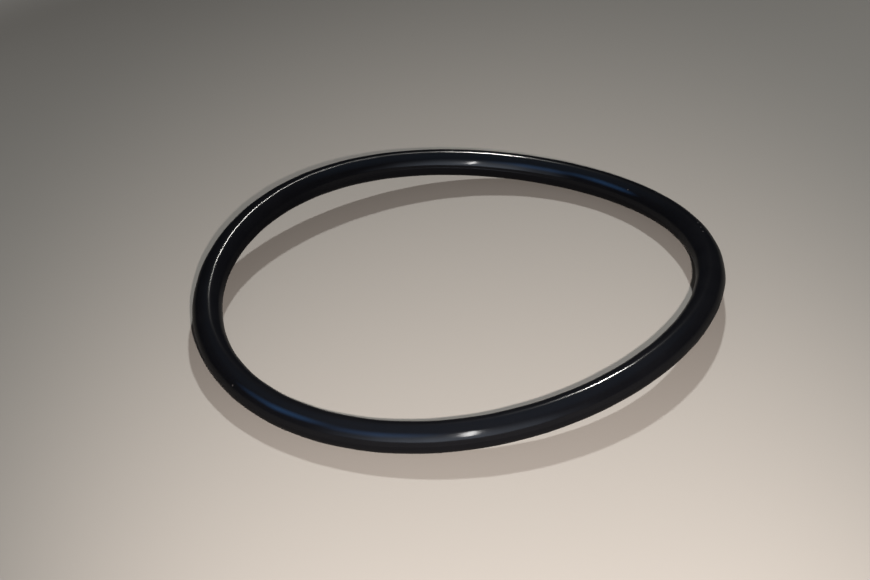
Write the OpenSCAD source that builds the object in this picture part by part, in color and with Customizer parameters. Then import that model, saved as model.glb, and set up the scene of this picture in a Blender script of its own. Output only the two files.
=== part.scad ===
// Rubber o-ring that has taken a set: one moulded ring of round section, no longer flat or quite round.
// It stands on two opposite low points, and its two high points are a quarter turn from them.
// Directions are degrees counted anticlockwise from +X, seen from above.

/* [Size] */
// Inside diameter of the ring as moulded
inside_d = 49; // [30:0.5:90]
// Thickness of the rubber
section_d = 3; // [1.5:0.1:6]

/* [Parting line] */
// Height of the trimmed flash that stands on the inside and the outside of the ring
flash_h = 0.04; // [0.02:0.01:0.15]
// Width of the trimmed flash at its root
flash_w = 0.16; // [0.1:0.02:0.4]
// Width of the trimmed flash at its top
flash_top_w = 0.06; // [0.02:0.02:0.1]

/* [Shape seen from above] */
// How far each end of the long axis lies out of round
oval = 0.96; // [0:0.02:2]
// Direction of the long axis
oval_angle = 50; // [0:5:180]
// How far the ring swells at three places, which makes it a little egg-shaped
egg = 0.12; // [0:0.02:0.6]
// Direction of the first swelling
egg_angle = 0; // [0:5:120]

/* [Warp] */
// Rise of the two high points, and fall of the two low ones, from the mean height
saddle = 0.98; // [0:0.02:2]
// Direction of the first high point
saddle_angle = 145; // [0:5:180]
// Rise of the higher side of the ring
lift = 0.3; // [0:0.02:0.6]
// Direction of the higher side
lift_angle = 125; // [0:5:360]
// Rise at three places, which sets one end of the saddle apart from the other
skew = 0.13; // [0:0.01:0.3]
// Direction of the first of the three
skew_angle = 8; // [0:1:120]

/* [Hidden] */
// Sections that the rubber is swept through, and flats over the top of each section
sections = 120;
flats = 12;
// Angle between two places where the lowest point is looked for
search_angle = 0.5;

mid_r = (inside_d + section_d) / 2;
section_r = section_d / 2;

// A wave with n crests round the ring, the first of them at the angle crest, and its slope
function wave(a, n, crest) = cos(n * (a - crest));
function slope(a, n, crest) = -n * sin(n * (a - crest));

// Middle of the rubber at angle a: how far it lies from the ring's axis, and above the mean height
function reach(a) = mid_r + oval * wave(a, 2, oval_angle) + egg * wave(a, 3, egg_angle);
function reach_slope(a) = oval * slope(a, 2, oval_angle) + egg * slope(a, 3, egg_angle);
function rise(a) =
    lift * wave(a, 1, lift_angle) + saddle * wave(a, 2, saddle_angle) + skew * wave(a, 3, skew_angle);
function rise_slope(a) =
    lift * slope(a, 1, lift_angle) + saddle * slope(a, 2, saddle_angle) + skew * slope(a, 3, skew_angle);

// The mean height puts the underside of the lowest rubber at z = 0
mean_z = section_r - min([for (a = [0 : search_angle : 360]) rise(a)]);

function unit(v) = v / norm(v);
function outward(a) = [cos(a), sin(a), 0];
function around(a) = [-sin(a), cos(a), 0];
function up(length) = [0, 0, length];

// The middle of the rubber at angle a, and three directions there: along the rubber, sideways and upwards
function middle(a) = reach(a) * outward(a) + up(mean_z + rise(a));
function along(a) = unit(reach_slope(a) * outward(a) + reach(a) * around(a) + up(rise_slope(a)));
function sideways(a) = unit(cross(along(a), up(1)));
function upwards(a) = cross(sideways(a), along(a));

// Upper half of the section as points [sideways, upwards], from the outer flash over to the inner one
shoulder = asin(flash_w / section_d);
flash_r = section_r + flash_h;
upper_half = [
    [flash_r, flash_top_w / 2],
    for (i = [0 : flats])
        let (b = shoulder + (180 - 2 * shoulder) * i / flats)
        section_r * [cos(b), sin(b)],
    [-flash_r, flash_top_w / 2]
];
section = concat(upper_half, -upper_half);

// Swept solid: the section stands square to the rubber at each angle, and the last one joins the first
module o_ring() {
    corners = len(section);
    points = [
        for (i = [0 : sections - 1])
            let (a = 360 * i / sections, p = middle(a), x = sideways(a), y = upwards(a))
            for (q = section) p + q[0] * x + q[1] * y
    ];
    faces = [
        for (i = [0 : sections - 1], j = [0 : corners - 1])
            let (here = i * corners, next = (i + 1) % sections * corners, k = (j + 1) % corners)
            [here + j, here + k, next + k, next + j]
    ];
    color("#191a1c")
        polyhedron(points, faces, convexity = 4);
}

o_ring();
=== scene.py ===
from functools import reduce
from math import atan2, cos, radians, sin

import bpy
from mathutils import Matrix, Vector


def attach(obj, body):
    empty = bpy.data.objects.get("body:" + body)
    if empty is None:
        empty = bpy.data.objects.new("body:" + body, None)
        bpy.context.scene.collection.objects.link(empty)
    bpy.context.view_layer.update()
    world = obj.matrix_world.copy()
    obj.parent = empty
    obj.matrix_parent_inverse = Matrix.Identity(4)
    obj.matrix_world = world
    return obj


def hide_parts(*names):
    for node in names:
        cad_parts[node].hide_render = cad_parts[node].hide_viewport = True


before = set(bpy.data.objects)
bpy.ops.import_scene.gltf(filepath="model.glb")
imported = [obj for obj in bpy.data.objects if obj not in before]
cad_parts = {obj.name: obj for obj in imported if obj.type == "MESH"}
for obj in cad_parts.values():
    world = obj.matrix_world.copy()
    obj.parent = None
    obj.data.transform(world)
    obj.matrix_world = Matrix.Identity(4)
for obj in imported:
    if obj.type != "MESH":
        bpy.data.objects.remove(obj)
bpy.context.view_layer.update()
bpy.ops.object.select_all(action="DESELECT")
scene = bpy.context.scene
scene.view_settings.view_transform = "Standard"
millimetre = 0.001


class Wire:
    # One socket of a node tree. Python's operators on it add Math nodes, and node() adds any other node.
    def __init__(self, tree, socket=None):
        self.tree = tree
        self.socket = socket

    def node(self, kind, settings=None, inputs=None, output=0):
        made = self.tree.nodes.new(kind)
        for name, value in (settings or {}).items():
            setattr(made, name, value)
        for name, value in (inputs or {}).items():
            if isinstance(value, Wire):
                self.tree.links.new(value.socket, made.inputs[name])
            else:
                made.inputs[name].default_value = value
        return Wire(self.tree, made.outputs[output] if made.outputs else None)

    def maths(self, operation, *values):
        return self.node("ShaderNodeMath", {"operation": operation}, dict(enumerate(values)))

    def __add__(self, other):
        return self.maths("ADD", self, other)

    def __radd__(self, other):
        return self.maths("ADD", other, self)

    def __sub__(self, other):
        return self.maths("SUBTRACT", self, other)

    def __rsub__(self, other):
        return self.maths("SUBTRACT", other, self)

    def __mul__(self, other):
        return self.maths("MULTIPLY", self, other)

    def __rmul__(self, other):
        return self.maths("MULTIPLY", other, self)

    def largerOf(self, other):
        return self.maths("MAXIMUM", self, other)

    def between(self, low, high):
        # 0 at low, 1 at high, with a soft start and end
        return self.node("ShaderNodeMapRange", {"interpolation_type": "SMOOTHSTEP"},
                         {"Value": self, "From Min": low, "From Max": high})

    def blend(self, first, second):
        # the first colour where this is 0, the second where it is 1
        inputs = {0: self, 6: first, 7: second}    # a Mix node's colours are its sockets 6 and 7
        return self.node("ShaderNodeMix", {"data_type": "RGBA"}, inputs, output=2)

    def distanceTo(self, point):
        inputs = {0: self, 1: point}
        return self.node("ShaderNodeVectorMath", {"operation": "DISTANCE"}, inputs, output="Value")

    def noise(self, size, detail):
        # its blotches are about size metres across
        inputs = {"Vector": self, "Scale": 1 / size, "Detail": detail}
        return self.node("ShaderNodeTexNoise", None, inputs)


def newMaterial(name):
    material = bpy.data.materials.new(name)
    material.use_nodes = True
    material.node_tree.nodes.clear()
    return material, Wire(material.node_tree)


# The ring's bent shape, the same as the solid's. Directions are in degrees anticlockwise from +X,
# seen from above.
ring = {
    "insideDiameter": 49 * millimetre,
    "thickness": 3 * millimetre,
    "oval": 0.96 * millimetre,     # how far each end of the long axis lies out of round
    "ovalAt": 50,
    "egg": 0.12 * millimetre,      # swelling at three places, the first of them at eggAt
    "eggAt": 0,
    "saddle": 0.98 * millimetre,   # rise of two opposite places, and fall of the two between them
    "saddleAt": 145,
    "lift": 0.3 * millimetre,      # rise of the higher side
    "liftAt": 125,
    "skew": 0.13 * millimetre,     # rise at three places, the first of them at skewAt
    "skewAt": 8,
    "flashHeight": 0.04 * millimetre,    # along the mould's parting line, inside and outside
    "sectionFlats": 120,
    "curveCuts": 7,                # cuts in each quarter of the circle that the ring starts from
    "curveSteps": 12,              # sections of rubber between two of its points
    "searchSteps": 720,            # places where the lowest rubber is looked for
    "touching": 0.001 * millimetre,    # a distance that counts as none
}
middleRadius = (ring["insideDiameter"] + ring["thickness"]) / 2
rubberRadius = ring["thickness"] / 2


def wave(angle, crests, first):
    # a wave round the ring, with the first of its crests at a direction in degrees
    return cos(crests * (angle - radians(first)))


def reach(angle):
    # how far the middle of the rubber lies from the ring's axis
    return (middleRadius + ring["oval"] * wave(angle, 2, ring["ovalAt"])
            + ring["egg"] * wave(angle, 3, ring["eggAt"]))


def rise(angle):
    # how far it lies above its mean height
    return (ring["lift"] * wave(angle, 1, ring["liftAt"])
            + ring["saddle"] * wave(angle, 2, ring["saddleAt"])
            + ring["skew"] * wave(angle, 3, ring["skewAt"]))


# the mean height puts the underside of the lowest rubber on the floor
searchAngles = [radians(360 * step / ring["searchSteps"]) for step in range(ring["searchSteps"])]
meanHeight = rubberRadius - min(map(rise, searchAngles))


def middleOfRubber(angle):
    return Vector((reach(angle) * cos(angle), reach(angle) * sin(angle), meanHeight + rise(angle)))


def pointOnRubber(direction, turn):
    # a point on the surface: turn is 0 at the outside of the ring, 90 on top and 180 at the inside
    angle = radians(direction)
    tilt = radians(turn)
    outward = Vector((cos(angle), sin(angle), 0))
    up = Vector((0, 0, 1))
    return middleOfRubber(angle) + rubberRadius * (cos(tilt) * outward + sin(tilt) * up)


def makeSectionOutline():
    # a circle with its corners pushed out where the mould's two halves met
    bpy.ops.mesh.primitive_circle_add(vertices=ring["sectionFlats"], radius=rubberRadius)
    outline = bpy.context.object
    for corner in outline.data.vertices:
        if abs(corner.co.y) < ring["touching"]:
            corner.co.x *= 1 + ring["flashHeight"] / rubberRadius
    bpy.ops.object.convert(target="CURVE")
    return bpy.context.object


def makeRing():
    outline = makeSectionOutline()
    bpy.ops.object.select_all(action="DESELECT")
    bpy.ops.curve.primitive_bezier_circle_add(radius=middleRadius)
    path = bpy.context.object
    bpy.ops.object.mode_set(mode="EDIT")
    bpy.ops.curve.select_all(action="SELECT")
    bpy.ops.curve.subdivide(number_cuts=ring["curveCuts"])
    bpy.ops.curve.handle_type_set(type="AUTOMATIC")
    bpy.ops.object.mode_set(mode="OBJECT")
    # bend the circle
    for point in path.data.splines[0].bezier_points:
        point.co = middleOfRubber(atan2(point.co.y, point.co.x))
    # sweep the section along it
    path.data.dimensions = "3D"
    path.data.twist_mode = "Z_UP"
    path.data.resolution_u = ring["curveSteps"]
    path.data.bevel_mode = "OBJECT"
    path.data.bevel_object = outline
    bpy.ops.object.convert(target="MESH")
    piece = bpy.context.object
    piece.name = "moulded_ring"
    bpy.ops.object.mode_set(mode="EDIT")
    bpy.ops.mesh.select_all(action="SELECT")
    bpy.ops.mesh.remove_doubles(threshold=ring["touching"])
    bpy.ops.mesh.normals_make_consistent(inside=False)
    bpy.ops.object.mode_set(mode="OBJECT")
    bpy.ops.object.shade_smooth()
    bpy.data.objects.remove(outline)
    return piece


rubber = {
    "black": (0.0056, 0.0063, 0.0086, 1),
    "roughness": 0.3,
    "ior": 1.025,
    # the thin film of oil that gives the sharp glints
    "oil": 0.125,
    "oilRoughness": 0.11,
    "oilIor": 1.75,
    # hazy bloom and fine dust, both in blotches: the levels of their noise where they start and are full
    "bloom": {"size": 4 * millimetre, "detail": 4, "levels": (0.4, 0.7), "share": 0.2},
    "bloomOil": 0.025,             # the oil that full bloom takes away
    "dust": {"size": 0.12 * millimetre, "detail": 1, "levels": (0.6, 0.75), "share": 0.3},
    "dusty": (0.011, 0.012, 0.015, 1),
    "grain": {"size": 0.35 * millimetre, "detail": 3, "depth": 0.0003 * millimetre},
    # the dull stretch: direction and turn of its middle, distances from there where it starts to fade
    # and where it ends, and the share of the oil that is gone
    "dullMiddle": (157, 100),
    "dullReach": (8 * millimetre, 14 * millimetre),
    "dullShare": 0.75,
    # small marks: direction round the ring, turn round the rubber, radius
    "specks": [
        (17.0, 74, 0.10 * millimetre),
        (14.6, 77, 0.09 * millimetre),
        (12.4, 81, 0.12 * millimetre),
        (4.1, 189, 0.12 * millimetre),
        (219.1, 31, 0.12 * millimetre),
        (42.2, 129, 0.10 * millimetre),
    ],
    "speckCore": 0.3,              # the share of its radius over which a mark is full
    "speckShare": 0.5,
    "speckColour": (0.22, 0.22, 0.24, 1),
}


def makeBlotches(place, look):
    return place.noise(look["size"], look["detail"]).between(*look["levels"])


def makeSpecks(place):
    # 1 on each mark, 0 elsewhere
    marks = []
    for direction, turn, radius in rubber["specks"]:
        away = place.distanceTo(pointOnRubber(direction, turn))
        marks.append(1 - away.between(rubber["speckCore"] * radius, radius))
    return reduce(Wire.largerOf, marks)


def makeRubber():
    material, start = newMaterial("black_rubber_gloss")
    place = start.node("ShaderNodeTexCoord", output="Object")
    bloom = makeBlotches(place, rubber["bloom"])
    dust = makeBlotches(place, rubber["dust"])
    specks = makeSpecks(place)
    dull = 1 - place.distanceTo(pointOnRubber(*rubber["dullMiddle"])).between(*rubber["dullReach"])
    hazy = bloom * rubber["bloom"]["share"] + dust * rubber["dust"]["share"]
    colour = hazy.blend(rubber["black"], rubber["dusty"])
    colour = (specks * rubber["speckShare"]).blend(colour, rubber["speckColour"])
    oil = (1 - specks) * (1 - dull * rubber["dullShare"]) * (rubber["oil"] - bloom * rubber["bloomOil"])
    grain = place.noise(rubber["grain"]["size"], rubber["grain"]["detail"])
    bump = start.node("ShaderNodeBump", None, {"Height": grain, "Distance": rubber["grain"]["depth"]})
    surface = start.node("ShaderNodeBsdfPrincipled", None,
                         {"Base Color": colour, "Roughness": rubber["roughness"], "IOR": rubber["ior"],
                          "Coat Weight": oil, "Coat Roughness": rubber["oilRoughness"],
                          "Coat IOR": rubber["oilIor"], "Normal": bump})
    start.node("ShaderNodeOutputMaterial", None, {"Surface": surface})
    return material


print("ring: bent circle swept with its section")
mouldedRing = makeRing()
mouldedRing.data.materials.clear()
mouldedRing.data.materials.append(makeRubber())
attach(mouldedRing, "root")
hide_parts("o_ring")

floorLook = {
    "radius": 4.0,
    "sides": 96,
    "colour": (0.468, 0.466, 0.455, 1),
    "roughness": 0.8,
    "gloss": 0,
    # for the camera the floor fades to a plain tone, between two distances from fadeMiddle
    "farTone": (0.42, 0.405, 0.385, 1),
    "fadeMiddle": (0, 0.018, 0),
    "fade": (0.082, 0.135),
}


def makeFloor():
    bpy.ops.mesh.primitive_circle_add(vertices=floorLook["sides"], radius=floorLook["radius"],
                                      fill_type="NGON")
    floor = bpy.context.object
    floor.name = "pale_floor"
    material, start = newMaterial("pale_floor")
    surface = start.node("ShaderNodeBsdfPrincipled", None,
                         {"Base Color": floorLook["colour"], "Roughness": floorLook["roughness"],
                          "Specular IOR Level": floorLook["gloss"]})
    plain = start.node("ShaderNodeEmission", None, {"Color": floorLook["farTone"]})
    away = start.node("ShaderNodeTexCoord", output="Object").distanceTo(floorLook["fadeMiddle"])
    forCamera = start.node("ShaderNodeLightPath", output="Is Camera Ray")
    fade = forCamera * away.between(*floorLook["fade"])
    faded = start.node("ShaderNodeMixShader", None, {0: fade, 1: surface, 2: plain})
    start.node("ShaderNodeOutputMaterial", None, {"Surface": faded})
    floor.data.materials.append(material)


print("floor")
makeFloor()

# Lamps: place and aim in metres, size in metres across and up, power in watts.
# Those with a beam, in degrees, are spot lamps. "only" keeps a lamp to light or to glints on the rubber.
lamps = {
    "key": {
        "place": (0.097, 0.752, 0.781),
        "aim": (0.046, -0.3, 0),
        "size": (0.055, 0.055),
        "power": 33.6,
        "colour": (1.0, 0.976, 0.92),
        "beam": 35.2,
    },
    "fill": {
        "place": (0.0107, -0.1654, 0.0965),
        "aim": (0.005, -0.05, 0),
        "size": (0.004, 0.004),
        "power": 1.7,
        "colour": (1.0, 0.861, 0.763),
        "beam": 41.7,
        "only": "light",
    },
    "fillGlint": {
        "place": (0.0177, -0.1654, 0.0985),
        "aim": (0, 0, 0),
        "size": (0.012, 0.1),
        "power": 0.3,
        "colour": (1.0, 0.98, 0.96),
        "only": "glints",
    },
}


def makeLamp(name, lamp):
    data = bpy.data.lights.new(name, "SPOT" if "beam" in lamp else "AREA")
    if "beam" in lamp:
        data.shadow_soft_size = lamp["size"][0] / 2
        data.spot_size = radians(lamp["beam"])
        data.spot_blend = 1
    else:
        data.shape = "ELLIPSE"
        data.size, data.size_y = lamp["size"]
    data.energy = lamp["power"]
    data.color = lamp["colour"]
    made = bpy.data.objects.new(name, data)
    scene.collection.objects.link(made)
    place = Vector(lamp["place"])
    turned = (place - Vector(lamp["aim"])).to_track_quat("Z", "Y").to_matrix()
    made.matrix_world = Matrix.Translation(place) @ turned.to_4x4()
    made.visible_camera = False
    made.visible_diffuse = lamp.get("only") != "glints"
    made.visible_glossy = lamp.get("only") != "light"


# The room's even light, what the camera sees beyond the floor, and a ceiling that only the gloss shows.
# ceilingFrom is the height in a direction of length 1 where the ceiling starts, and where it is full.
room = {
    "light": {"colour": (1.0, 0.9, 0.84, 1), "strength": 0.06},
    "backdrop": {"colour": floorLook["farTone"], "strength": 1.0},
    "ceiling": {"colour": (0.4, 0.65, 1.0, 1), "strength": 0.6},
    "ceilingFrom": (0.5, 1.0),
}
# Windows, which only the gloss shows too. In degrees: azimuth from +Y towards +X, height, and how far
# the soft edge reaches from the middle.
windows = {
    "left": {"azimuth": -97, "height": 41, "reach": 23,
             "colour": (0.13, 0.42, 1.0, 1), "strength": 6.4},
    "front": {"azimuth": -145, "height": 44, "reach": 26,
              "colour": (0.2, 0.46, 1.0, 1), "strength": 5.4},
    "behindViewer": {"azimuth": 180, "height": 5, "reach": 60,
                     "colour": (0.75, 0.85, 1.0, 1), "strength": 7.0},
}


def directionOf(azimuth, height):
    # a direction of length 1; both angles are in radians
    return Vector((sin(azimuth) * cos(height), cos(azimuth) * cos(height), sin(height)))


def makeRoom():
    world = bpy.data.worlds.new("room")
    scene.world = world
    world.use_nodes = True
    world.node_tree.nodes.clear()
    start = Wire(world.node_tree)
    towards = start.node("ShaderNodeTexCoord", output="Generated")
    height = start.node("ShaderNodeSeparateXYZ", None, {"Vector": towards}, output="Z")
    forCamera = start.node("ShaderNodeLightPath", output="Is Camera Ray")
    forGloss = start.node("ShaderNodeLightPath", output="Is Glossy Ray")

    def glow(look, share):
        inputs = {"Color": look["colour"], "Strength": share * look["strength"]}
        return start.node("ShaderNodeBackground", None, inputs)

    def together(first, second):
        return start.node("ShaderNodeAddShader", None, {0: first, 1: second})

    glows = [
        glow(room["backdrop"], forCamera),
        glow(room["light"], (1 - forCamera) * (1 - forGloss)),
        glow(room["ceiling"], forGloss * height.between(*room["ceilingFrom"])),
    ]
    for window in windows.values():
        middle = directionOf(radians(window["azimuth"]), radians(window["height"]))
        edge = 2 * sin(radians(window["reach"]) / 2)
        glows.append(glow(window, forGloss * (1 - towards.distanceTo(middle).between(0, edge))))
    start.node("ShaderNodeOutputWorld", None, {"Surface": reduce(together, glows)})


print("lamps and room")
for name, lamp in lamps.items():
    makeLamp(name, lamp)
makeRoom()

# The camera stands in front of the ring, looking down at it. Distances are in metres, angles in degrees,
# and the lens and the sensor in millimetres.
view = {
    "distance": 0.18707,
    "elevation": 32.254,
    "pan": -0.914,
    "pitch": 0.335,
    "roll": -2.426,
    "lens": 74.15,
    "sensor": 36,
    "nearest": 0.01,
}


def makeCamera():
    data = bpy.data.cameras.new("camera")
    data.lens = view["lens"]
    data.sensor_width = view["sensor"]
    data.clip_start = view["nearest"]
    made = bpy.data.objects.new("camera", data)
    scene.collection.objects.link(made)
    elevation = radians(view["elevation"])
    place = view["distance"] * Vector((0, -cos(elevation), sin(elevation)))
    ahead = directionOf(radians(view["pan"]), radians(view["pitch"]) - elevation)
    turned = ahead.to_track_quat("-Z", "Y").to_matrix() @ Matrix.Rotation(radians(view["roll"]), 3, "Z")
    made.matrix_world = Matrix.Translation(place) @ turned.to_4x4()
    scene.camera = made


print("camera")
makeCamera()
